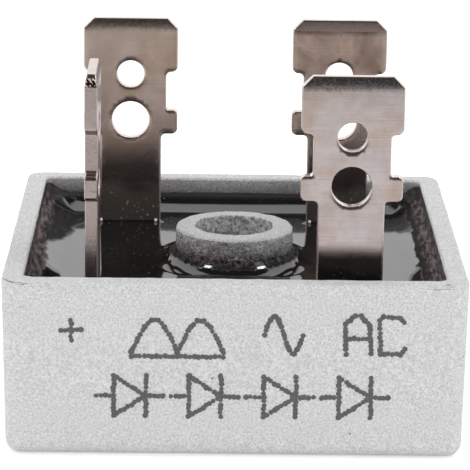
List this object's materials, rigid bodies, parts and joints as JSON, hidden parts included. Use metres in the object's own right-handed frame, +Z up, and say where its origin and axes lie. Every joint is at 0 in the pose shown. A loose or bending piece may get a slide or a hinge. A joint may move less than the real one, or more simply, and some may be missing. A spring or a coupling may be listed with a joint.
{
  "type": "bridge rectifier",
  "caption": "Square cast metal case potted with black epoxy round a central screw boss, with upright notched push-on tabs near the corners.",
  "frame": {"origin": "centre of the case's flat bottom face, which bolts to a heatsink", "axes": "+X to the right of the printed front face, +Y from the printed face to the rear, +Z up along the tabs and the screw hole"},
  "size_m": [0.0286, 0.0286, 0.0231],
  "materials": {
    "case_metal": "tumbled casting",
    "epoxy": "glossy black epoxy",
    "nickel_plate": "satin nickel plate",
    "copper": "bare copper",
    "ceramic": "matt alumina",
    "bond": "filled adhesive",
    "silicon": "polished silicon",
    "solder": "dull solder"
  },
  "bodies": {
    "root": {"ac_strap_front": "copper", "ac_strap_rear": "copper", "case": "case_metal", "ceramic_insulator": "ceramic", "diode_die_front_left": "silicon", "diode_die_front_right": "silicon", "diode_die_rear_left": "silicon", "diode_die_rear_right": "silicon", "epoxy_potting": "epoxy", "foot_solder_ac_front": "solder", "foot_solder_ac_rear": "solder", "foot_solder_negative": "solder", "foot_solder_positive": "solder", "insulator_bond": "bond", "lower_solder_front_left": "solder", "lower_solder_front_right": "solder", "lower_solder_rear_left": "solder", "lower_solder_rear_right": "solder", "negative_plate": "copper", "positive_plate": "copper", "terminal_ac_front": "nickel_plate", "terminal_ac_rear": "nickel_plate", "terminal_negative": "nickel_plate", "terminal_positive": "nickel_plate", "upper_solder_front_left": "solder", "upper_solder_front_right": "solder", "upper_solder_rear_left": "solder", "upper_solder_rear_right": "solder"}
  },
  "joints": []
}
